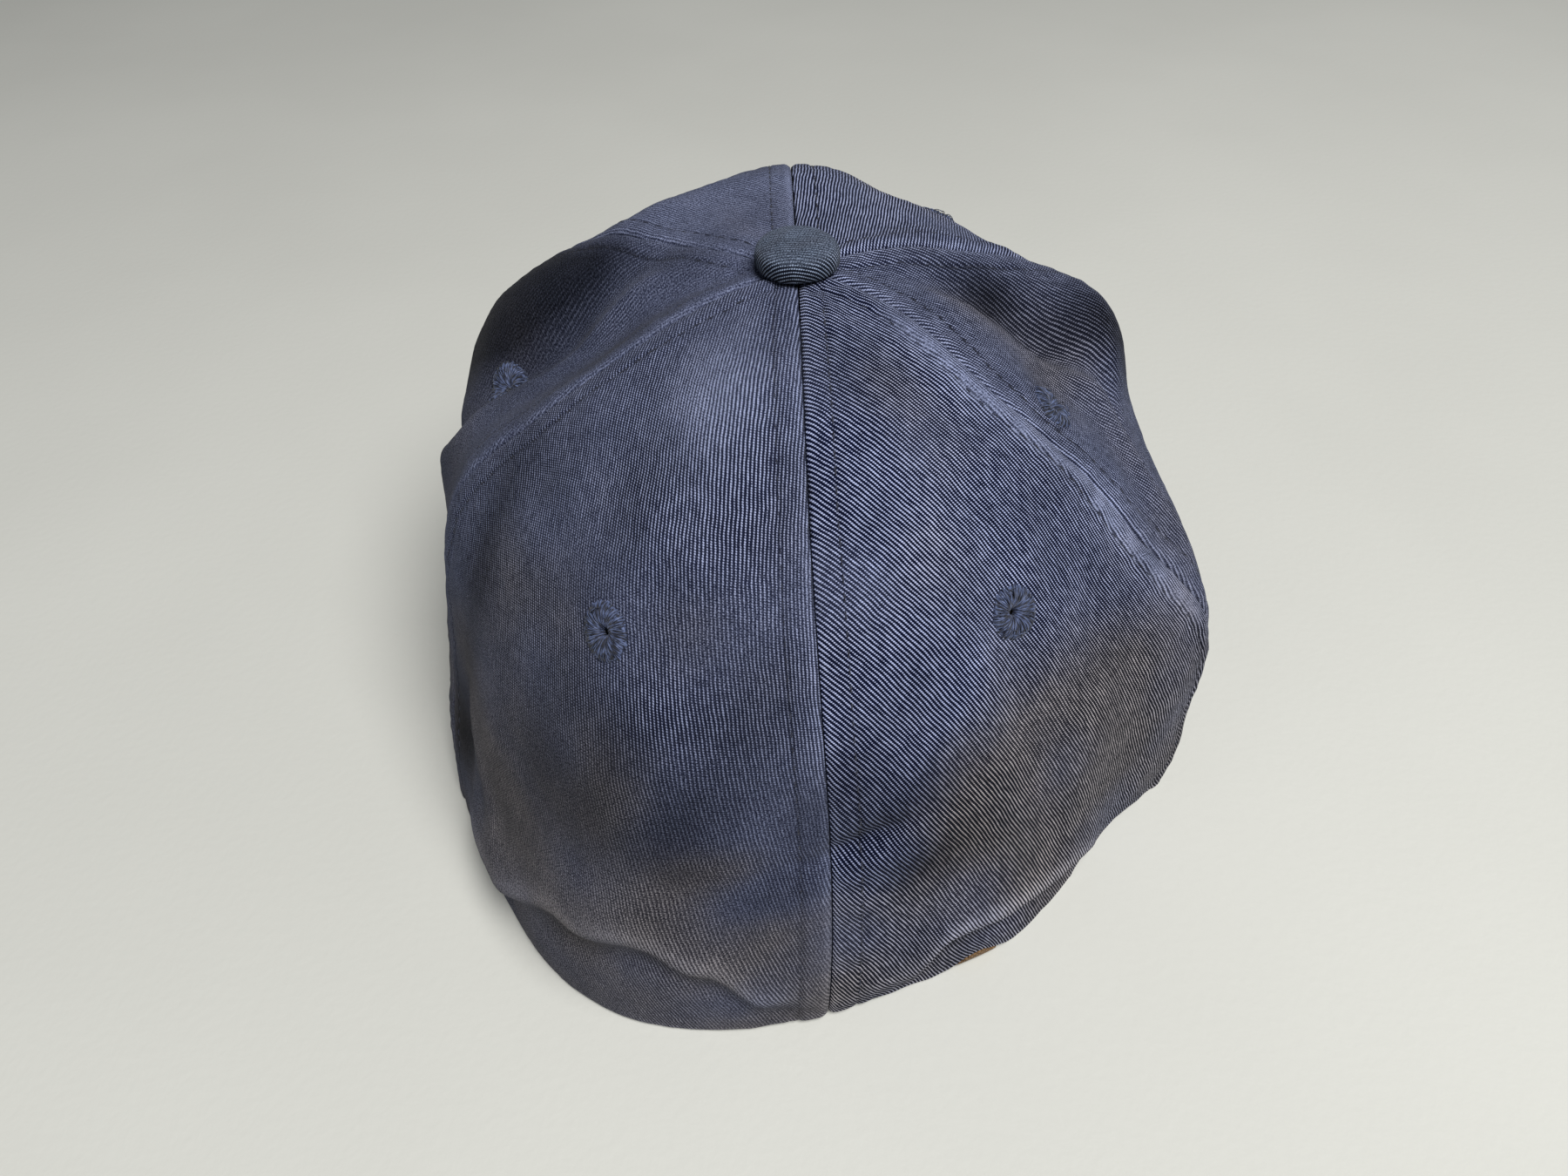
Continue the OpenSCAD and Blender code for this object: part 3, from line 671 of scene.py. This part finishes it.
def panel(i):
    t = PANEL_ROWS[:, None]
    first, last = panel_edges(i, t)
    width = np.radians(last - first) * ring_radius((first + last) / 2, t)
    edge = np.minimum(8.6, 0.3 * width) / width
    ends = np.linspace(0, 1, EDGE_COLS + 1)[None, :-1]
    middle = np.linspace(0, 1, MIDDLE_COLS + 1)[None, :]
    share = np.concatenate([edge * ends, mix(edge, 1 - edge, middle),
                            1 - edge * ends[:, ::-1]], axis=1)
    th = mix(first, last, share)
    t = np.broadcast_to(t, th.shape)
    hem = crown_point(th[:, :1] * 0 + (SEAMS[i] + SEAMS[i + 1]) / 2, t[:, :1])
    step = np.linalg.norm(np.diff(hem[:, 0], axis=0), axis=-1)
    above_hem = np.concatenate([np.cumsum(step[::-1])[::-1], [0]])[:, None]
    rounded = 1 - np.sqrt(1 - np.clip(1 - above_hem / HEM_ROUND, 0, 1) ** 2)
    fold = ease((2.2 - above_hem) / 0.5) * TWILL_T
    soft = slack(th, t)
    outer = crown_layer(th, t, soft + panel_detail(i, th, t) - rounded * HEM_ROUND)
    inner = crown_layer(th, t, soft - TWILL_T - fold + rounded * HEM_ROUND)
    obj = closed_sheet("panel_" + PANELS[i] + "_cloth", outer, inner, panel_uv(i, th, t),
                       panel_tone(i, th, t), keep=outside_hole(i, th, t))
    finished(obj, NAVY, "twill", "panel_" + PANELS[i])


for index in range(6):
    panel(index)


# ---- Stitching along the crown seams ---------------------------------------

def stitches(curve, seed):
    """Arc lengths of a curve's points, and of the seven points of each stitch along it."""
    rng = np.random.default_rng(seed)
    arc = np.concatenate([[0], np.cumsum(np.linalg.norm(np.diff(curve, axis=0), axis=-1))])
    at = np.arange(STITCH_PITCH, arc[-1] - STITCH_PITCH, STITCH_PITCH)
    at = at + rng.uniform(-0.12, 0.12, len(at))
    return arc, at[:, None] + STITCH_LEN * np.linspace(-0.5, 0.5, 7)


DIVE = np.array([-0.45, -0.02, 0.1, 0.13, 0.1, -0.02, -0.45])
THIN = np.array([0.7, 0.95, 1, 1, 1, 0.95, 0.7])


def seam_stitches(k):
    """The two rows of topstitching beside seam k."""
    rows, ups = [], []
    for side in (0, 1):
        i = k if side else (k - 1) % 6
        ts = np.linspace(ROW_TOP, ROW_END, 1400)
        base = seam(k, ts) if side or k else seam(6, ts)
        reach = np.minimum(degrees_of(stitch_row(ts), base, ts), ROW_REACH)
        th = base + (reach if side else -reach)
        arc, at = stitches(crown_point(th, ts), 100 + 2 * k + side)
        t = np.interp(at, arc, ts)
        th = np.interp(at, arc, th)
        off = outer_off(i, th, t) - 0.12 * ((k, side) in SUNK_ROWS)
        low, high = crown_layer(th, t, off + DIVE), crown_layer(th, t, off + DIVE + 1)
        rows.append(low)
        ups.append(high - low)
    obj = tubes("topstitch_" + SEAM_NAMES[k], np.concatenate(rows), np.concatenate(ups),
                THREAD_R * THIN)
    finished(obj, TOPSTITCH, "thread")


for index in range(6):
    seam_stitches(index)


# ---- Eyelets ----------------------------------------------------------------

def eyelet_point(i, r, phi, height):
    """Point r from the middle of eyelet i, at angle phi, height over the cloth."""
    th0, t0 = EYELETS[i]
    fall = np.linalg.norm(crown_point(th0, t0 + 0.005) - crown_point(th0, t0 - 0.005)) / 0.01
    th = th0 + degrees_of(r * np.cos(phi), th0, t0)
    t = t0 + r * np.sin(phi) / fall
    return crown_layer(th, t, outer_off(i, th, t) + height)


SATIN_STITCHES, FRAYED_ENDS, RING_COLS = 108, 8, 48


def eyelet(i):
    """Satin stitches over a padded ring, and a few frayed ends."""
    rng = np.random.default_rng(200 + i)
    low = -(BUCKRAM_DEPTH + BUCKRAM_T if i in FRONT_PANELS else TWILL_T) - 0.55
    outline = np.array([
        (1.35, low - 0.3), (1.7, low - EYELET_BACK_T), (3.4, low - 0.45), (3.75, low - 0.1),
        (3.4, low), (SLEEVE_R, low + 0.1), (SLEEVE_R, 0.1), (3.4, 0.22), (4.9, 0.1), (4.8, 0.3),
        (4.1, 0.62), (3.0, 0.74), (2.1, 0.55), (1.5, 0.05), (1.3, -0.5)])
    phi = np.linspace(0, 2 * np.pi, RING_COLS, endpoint=False)
    r = np.broadcast_to(outline[:, :1], (len(outline), RING_COLS))
    ring = eyelet_point(i, r, phi[None], outline[:, 1:])
    m, n = len(outline), RING_COLS
    faces = [[a * n + b, a * n + (b + 1) % n, (a + 1) % m * n + (b + 1) % n,
              (a + 1) % m * n + b] for a in range(m) for b in range(n)]
    uv = np.stack(np.broadcast_arrays(phi[None] * 3, outline[:, :1]), -1).reshape(-1, 2)
    pad = add_mesh("pad", ring.reshape(-1, 3), faces, uv)
    count = SATIN_STITCHES
    turn = np.linspace(0, 2 * np.pi, count, endpoint=False) + rng.uniform(-0.05, 0.05, count)
    reach = np.array([0.75, 0.95, 1.5, 2.3, 3.2, 4.1, 4.7, 5.0])[None] + np.concatenate(
        [rng.uniform(-0.15, 0.25, (count, 1)) * [[1.0, 1.0, 0.6, 0.3, 0.0]],
         rng.uniform(-0.3, 0.25, (count, 1)) * [[0.5, 0.8, 1.0]]], 1)
    height = np.array([-0.8, -0.1, 0.55, 0.92, 1.0, 0.78, 0.35, -0.12])[None] + rng.uniform(
        -0.12, 0.12, (count, 1))
    swirl = turn[:, None] + rng.uniform(-0.09, 0.09, (count, 1)) * np.linspace(-1, 1, 8)
    paths = eyelet_point(i, reach, swirl, height)
    ups = eyelet_point(i, reach, swirl, height + 1) - paths
    satin = tubes("satin", paths, ups, 0.14 * rng.uniform(0.7, 1.3, (count, 1)) * np.ones(8), 6)
    loose = FRAYED_ENDS
    start = rng.uniform(0, 2 * np.pi, loose)[:, None]
    grow = np.linspace(0, 1, 6)[None]
    bend = start + rng.uniform(-0.7, 0.7, (loose, 1)) * grow ** 2
    out = rng.uniform(2.6, 4.4, (loose, 1)) + rng.uniform(-0.6, 0.9, (loose, 1)) * grow
    arch = rng.uniform(0.2, 0.6, (loose, 1)) * np.sin(grow * rng.uniform(1.5, 2.9, (loose, 1)))
    rise = 0.85 + arch
    paths = eyelet_point(i, out, bend, rise)
    ups = eyelet_point(i, out, bend, rise + 1) - paths + 0.01
    fray = tubes("fray", paths, ups, 0.09, 5)
    return [pad, satin, fray]


rings = [piece for index in range(6) for piece in eyelet(index)]
finished(joined(rings, "eyelet_embroidery"), EMBROIDERY, "thread", "eyelets")


# ---- Button ------------------------------------------------------------------

# Squareness of the button's shoulder, height of its widest ring, depth of its tucked edge
BUTTON_SHOULDER, BUTTON_RIM, BUTTON_TUCK = 3.3, 1.5, 1.7


def button():
    """Cloth pulled over a domed shell, gathered in under its edge."""
    rng = np.random.default_rng(300)
    profile = np.radians(np.concatenate([np.linspace(0.5, 90, 34), np.linspace(96, 140, 8)]))
    cols = 120
    phi = np.linspace(0, 2 * np.pi, cols, endpoint=False)[None]
    a = profile[:, None]
    n = BUTTON_SHOULDER
    s, c = np.sin(a), np.cos(a)
    grow = (np.abs(s) ** n + np.abs(c) ** n) ** (-1 / n)
    base_z, rise = BUTTON_BASE + BUTTON_RIM, BUTTON_TOP - BUTTON_BASE - BUTTON_RIM
    r = BUTTON_R * grow * s
    z = base_z + np.where(c > 0, rise, BUTTON_TUCK) * grow * c
    gathers = sum(rng.uniform(0.4, 1) * np.cos(k * phi + rng.uniform(0, 6.3))
                  for k in (9, 13, 17, 22)) * 0.045 * ease((a - 0.9) / 0.7)
    x0 = np.stack(np.broadcast_arrays(r * np.sin(phi), r * np.cos(phi), z), -1)
    x1 = np.stack(np.broadcast_arrays((r + gathers) * np.sin(phi), (r + gathers) * np.cos(phi),
                                      z + 0 * phi), -1)
    normal = np.stack(np.broadcast_arrays(s * np.sin(phi), s * np.cos(phi), c + 0 * phi), -1)
    outer = x1 + 0.05 * ripple(301, x1, 4)[..., None] * normal
    inner = x0 - normal * 0.8
    arc = np.cumsum(np.linalg.norm(np.diff(x0[:, 0], axis=0, prepend=x0[:1, 0]), axis=-1))
    uv = arc[:, None, None] * np.stack([np.sin(phi), np.cos(phi)], -1)
    # The third channel darkens the button's side towards its tucked edge: painted shade
    tone = np.stack(np.broadcast_arrays(0.25 + 0.2 * ripple(302, x0, 7), 0.1,
                                        0.6 * ease((a - 1.0) / 0.7),
                                        0.85 - 0.8 * ease((a - 0.8) / 0.4)), -1)
    obj = closed_sheet("button_cloth", outer, inner, uv, np.clip(tone, 0, 1), ring=True)
    finished(obj, BUTTON_TWILL, "twill", "button_cover")


button()


# ---- Inside: stiffeners, tapes and sweatband --------------------------------

def layer_rows(count):
    return np.linspace(LINING_TOP, LINING_END, count)[:, None]


def buckram(i):
    t = layer_rows(90)
    first, last = panel_edges(i, t)
    th = mix(first, last, np.linspace(0, 1, 70)[None])
    t = np.broadcast_to(t, th.shape)
    off = slack(th, t) - BUCKRAM_DEPTH
    obj = closed_sheet("buckram_" + PANELS[i] + "_weave", crown_layer(th, t, off),
                       crown_layer(th, t, off - BUCKRAM_T), panel_uv(i, th, t),
                       keep=outside_hole(i, th, t))
    finished(obj, BUCKRAM, "buckram", "buckram_" + PANELS[i])


def tape_half(k, t):
    """Half the width of tape k in degrees. The six tapes must not meet under the button."""
    return np.minimum(degrees_of(TAPE_W / 2, seam(k, t), t), TAPE_REACH)


def tape(k):
    """Woven tape over the inside of seam k, sewn down along both edges."""
    t = layer_rows(120)
    half = tape_half(k, t)
    across = np.array([-1, -0.97, -0.9, -0.78, -0.7, -0.62, -0.4, -0.2, 0,
                       0.2, 0.4, 0.62, 0.7, 0.78, 0.9, 0.97, 1])[None]
    th = seam(k, t) + across * half
    t = np.broadcast_to(t, th.shape)
    depth = FRONT_TAPE_DEPTH if k in FRONT_SEAMS else TAPE_DEPTH
    off = slack(th, t) - depth
    swell = 0.1 * (1 - bell(np.abs(across) - 0.7, 0.09)) - 0.35 * ease((np.abs(across) - 0.9) / 0.1)
    outer = crown_layer(th, t, off)
    inner = crown_layer(th, t, off - TAPE_T - swell)
    fall = np.linalg.norm(np.diff(outer[:, 8], axis=0, prepend=outer[:1, 8]), axis=-1)
    uv = np.stack(np.broadcast_arrays(across * TAPE_W / 2, np.cumsum(fall)[:, None]), -1)
    finished(closed_sheet("seam_tape_" + SEAM_NAMES[k] + "_weave", outer, inner, uv), LINING,
             "tape", "seam_tape_" + SEAM_NAMES[k])
    rows, ups = [], []
    ts = np.linspace(LINING_TOP + 0.02, LINING_END, 900)
    for side in TAPE_ROWS:
        row = seam(k, ts) + side * tape_half(k, ts)
        arc, at = stitches(crown_point(row, ts), 400 + k)
        t, th = np.interp(at, arc, ts), np.interp(at, arc, row)
        low = crown_layer(th, t, slack(th, t) - depth - TAPE_T - 0.05 - DIVE)
        rows.append(low)
        ups.append(low - crown_layer(th, t, slack(th, t)))
    obj = tubes("tape_stitch_" + SEAM_NAMES[k], np.concatenate(rows), np.concatenate(ups),
                LINING_THREAD_R * THIN, 5)
    finished(obj, TOPSTITCH, "thread")


def band_foot(th):
    """Height of the sweatband's foot over the hem: lower in front, beside the bill."""
    return BAND_RISE - (BILL_DROP + 2 * COVER_OUT) * hem_z(th) / FRONT_LIFT


def sweatband():
    """Folded band sewn in round the hem. Its lip shows where the hem lifts."""
    cols = 480
    th = np.linspace(0, 360, cols, endpoint=False)[None]
    low = band_foot(th)
    up = np.array([0, .2, .45, .8, 1.2, 1.7, 2.2, 2.8, 3.3, 4, 5.5, 8, 11, 14, 17, 20, 23, 26,
                   28, 29, 29.6, 30.2, 31, 31.5, 31.8, BAND_H])[::-1, None]
    h = low + up
    p = wall_point(th, h, 0.0)
    puff = 0.22 * ripple(500, p, 16) * ease(up / 6) * ease((BAND_H - up) / 4)
    sewn = 0.3 * bell(up - BAND_ROWS[0], 0.6) + 0.3 * bell(up - BAND_ROWS[1], 0.6)
    edge = 0.55 * (1 - ease(up / 0.7)) + 0.55 * (1 - ease((BAND_H - up) / 0.8))
    lip = (BAND_DEPTH + hills(FLARES, th) - 0.3) * ease((hem_lift(th) - 0.15 - up) / 0.5)
    lip = lip * ease((hem_lift(th) - 0.3) / 1.2)
    outer = wall_point(th, h, -BAND_DEPTH - edge + lip - 0.1 * sewn)
    inner = wall_point(th, h, -BAND_DEPTH - BAND_T + edge + lip + sewn + 0.25 * puff)
    uv = np.stack(np.broadcast_arrays(np.radians(th) * 95, BAND_H - up), -1)
    obj = closed_sheet("sweatband_cloth", outer, inner, uv, ring=True)
    finished(obj, TAN, "sweatband", "sweatband")
    rows, ups = [], []
    for row, height in enumerate(BAND_ROWS):
        th = np.linspace(0, 360, 3000)
        curve = wall_point(th, band_foot(th) + height, -BAND_DEPTH - BAND_T)
        arc, at = stitches(curve, 510 + row)
        a = np.interp(at, arc, th)
        low = band_foot(a)
        path = wall_point(a, low + height, -BAND_DEPTH - BAND_T + 0.25 - DIVE)
        rows.append(path)
        ups.append(path - wall_point(a, low + height, 0.0))
    obj = tubes("sweatband_stitch", np.concatenate(rows), np.concatenate(ups),
                BAND_THREAD_R * THIN, 5)
    finished(obj, TAN_THREAD, "thread")


for index in FRONT_PANELS:
    buckram(index)
for index in range(6):
    tape(index)
sweatband()


# ---- Bill --------------------------------------------------------------------

BILL_ROW_GAP = 7.0
BILL_ROWS = np.arange(6, 62, BILL_ROW_GAP)


def bill_point(u, v, up):
    """Point on the middle layer of the bill, moved up. v runs from the crown to the rim."""
    w = 2 * u - 1
    th = 180 + w * BILL_HALF_ANGLE
    root = crown_point(th, 1, LAYER_GAP - BAND_DEPTH)
    end = crown_point(180 + np.sign(w) * BILL_HALF_ANGLE, 1, LAYER_GAP - BAND_DEPTH)
    far = np.arccos((-end[..., 1] - BILL_CENTRE_Y) / BILL_R)
    rim_x, rim_y = -BILL_R * np.sin(w * far), -BILL_CENTRE_Y - BILL_R * np.cos(w * far)
    spare = np.abs(end[..., 0]) + BILL_END_W - BILL_R * np.sin(far)
    draw_in = np.abs(w) ** BILL_CORNER_POWER
    root_z = hem_z(th) - BILL_DROP - COVER_OUT
    rim_z = COVER_OUT + BILL_ARCH * (1 - (rim_x / BILL_R) ** 2)
    return np.stack(np.broadcast_arrays(
        mix(root[..., 0], rim_x - np.sign(w) * spare * draw_in, v), mix(root[..., 1], rim_y, v),
        mix(root_z, mix(rim_z, root_z, draw_in), v) + up), -1)


def bill_cover(side):
    """Upper (1) or lower (-1) cover of the bill, quilted by rows of stitches."""
    v = np.concatenate([np.linspace(0, 0.93, 66), 0.93 + 0.07 * np.sin(
        np.linspace(0, np.pi / 2, 15)[1:])])[:, None]
    u = (np.linspace(0.0003, 0.9997, 190))[None]
    flat = bill_point(u, v, 0.0)
    from_rim = BILL_R - np.hypot(flat[..., 0], flat[..., 1] + BILL_CENTRE_Y)
    half_gap = BILL_ROW_GAP / 2
    q = ease(np.abs((from_rim - BILL_ROWS[0]) % BILL_ROW_GAP - half_gap) / half_gap)
    q = q * (from_rim > 2)
    quilt = -0.16 * q - 0.2 * sum(bell(from_rim - r, 0.55) for r in BILL_ROWS)
    quilt = quilt * ease((v - 0.02) / 0.05) + 0.05 * ripple(600 + side, flat, 9)
    shut = np.sqrt(np.clip(1 - np.clip((v - 0.94) / 0.06, 0, 1) ** 2.4, 0, 1))
    half = 0.16 + (COVER_OUT - 0.16) * shut
    outside = bill_point(u, v, side * (half + quilt * shut))
    inside = bill_point(u, v, side * np.minimum(mix(0.15, COVER_IN, ease((1 - v) / 0.06)),
                                                half - 0.01))
    # columns run the other way round from the crown's, so the upper cover is turned over
    grids = (outside, inside) if side < 0 else (outside[:, ::-1], inside[:, ::-1])
    outward = flat[..., :2] + [0, BILL_CENTRE_Y]
    outward = outward / np.linalg.norm(outward, axis=-1, keepdims=True)
    uv = flat[..., :2] + outward * (COVER_OUT - half)[..., None]
    uv = uv if side < 0 else uv[:, ::-1]
    p = grids[0]
    tone = np.stack(np.broadcast_arrays(
        0.2 + 0.12 * ripple(610 + side, p, 40), 0.1 + 0.2 * ease((v - 0.95) / 0.04),
        0.06 + 0.06 * ripple(612 + side, p, 25),
        0.2 + 0.6 * ease((v - 0.93) / 0.05)), -1)
    name = "top" if side > 0 else "bottom"
    obj = closed_sheet("bill_" + name + "_cloth", *grids, uv, np.clip(tone, 0, 1))
    finished(obj, NAVY, "twill", "bill_cover_" + name)
    return obj


def bill_stitches(cover, side):
    """Rows of stitches that follow the rim, laid on the cover."""
    tree = BVHTree.FromPolygons([v.co / MM for v in cover.data.vertices],
                                [p.vertices for p in cover.data.polygons])
    paths, ups = [], []
    for row, inset in enumerate(BILL_ROWS):
        radius = BILL_R - inset
        half_arc = radius * 1.45
        for at in np.arange(-half_arc, half_arc, STITCH_PITCH):
            a = (at + np.linspace(-0.5, 0.5, 7) * STITCH_LEN) / radius
            xy = np.stack([radius * np.sin(a), -BILL_CENTRE_Y - radius * np.cos(a)], -1)
            th = np.degrees(np.arctan2(xy[:, 0], xy[:, 1]))
            if np.any(np.hypot(*xy.T) < hem_radius(th) + (1.0 if side > 0 else -1.5)):
                continue
            hits = [tree.ray_cast(Vector((x, y, 60 * side)), Vector((0, 0, -side)))[0]
                    for x, y in xy]
            if any(h is None for h in hits):
                continue
            paths.append(np.array(hits) + DIVE[:, None] * [[0, 0, side]])
            ups.append(np.tile([0, 0, side], (7, 1)))
    obj = tubes("bill_stitch_" + ("top" if side > 0 else "bottom"), paths, ups, THREAD_R * THIN)
    finished(obj, TOPSTITCH, "thread")


for facing in (1, -1):
    bill_stitches(bill_cover(facing), facing)

for node, material in (("bill_board", BOARD), ("button_shell", STEEL), ("button_rivet", STEEL),
                       ("button_washer", STEEL)):
    NODES[node].data.materials.clear()
    NODES[node].data.materials.append(material)


# ---- Floor, lights and camera -------------------------------------------------

# In metres: half the floor's width, and how far it lies under the cap so that no faces coincide
FLOOR_HALF, FLOOR_GAP = 3.0, 0.0002
CAMERA_PLACE = (4.3, 204, 222)


def stage_floor():
    half = FLOOR_HALF
    mesh = bpy.data.meshes.new("floor")
    mesh.from_pydata([(-half, -half, 0), (half, -half, 0), (half, half, 0), (-half, half, 0)], [],
                     [(0, 1, 2, 3)])
    obj = bpy.data.objects.new("floor", mesh)
    obj.location.z = -FLOOR_GAP
    mesh.materials.append(floor_paint("floor_paint"))
    bpy.context.scene.collection.objects.link(obj)


def area_light(name, place, aim, size, power, colour):
    data = bpy.data.lights.new(name, "AREA")
    data.shape, data.size, data.energy, data.color = "DISK", size, power, colour
    obj = bpy.data.objects.new(name, data)
    obj.location = place
    obj.rotation_mode = "QUATERNION"
    obj.rotation_quaternion = (Vector(aim) - Vector(place)).to_track_quat("-Z", "Y")
    bpy.context.scene.collection.objects.link(obj)


def camera():
    """Above and behind the cap, looking down at its back."""
    pitch, roll = math.radians(44), math.radians(-1.5)
    ahead = Vector((0, -math.cos(pitch), -math.sin(pitch)))
    level, upright = Vector((-1, 0, 0)), Vector((0, -math.sin(pitch), math.cos(pitch)))
    right = level * math.cos(roll) + upright * math.sin(roll)
    up = upright * math.cos(roll) - level * math.sin(roll)
    data = bpy.data.cameras.new("camera")
    data.lens, data.sensor_width, data.clip_start, data.clip_end = 26.0, 36.0, 0.01, 20.0
    obj = bpy.data.objects.new("camera", data)
    turn = Matrix((right, up, -ahead)).transposed()
    obj.matrix_world = Matrix.Translation(Vector(CAMERA_PLACE) * MM) @ turn.to_4x4()
    bpy.context.scene.collection.objects.link(obj)
    bpy.context.scene.camera = obj


stage_floor()
area_light("key", (-0.42, 0.62, 1.35), (-0.03, 0.03, 0.05), 0.95, 24.0, (1.0, 0.985, 0.955))
world = bpy.data.worlds.new("studio")
world.use_nodes = True
world.node_tree.nodes["Background"].inputs["Color"].default_value = (0.93, 0.97, 1.0, 1.0)
world.node_tree.nodes["Background"].inputs["Strength"].default_value = 0.11
bpy.context.scene.world = world
bpy.context.scene.view_settings.view_transform = "Standard"
camera()
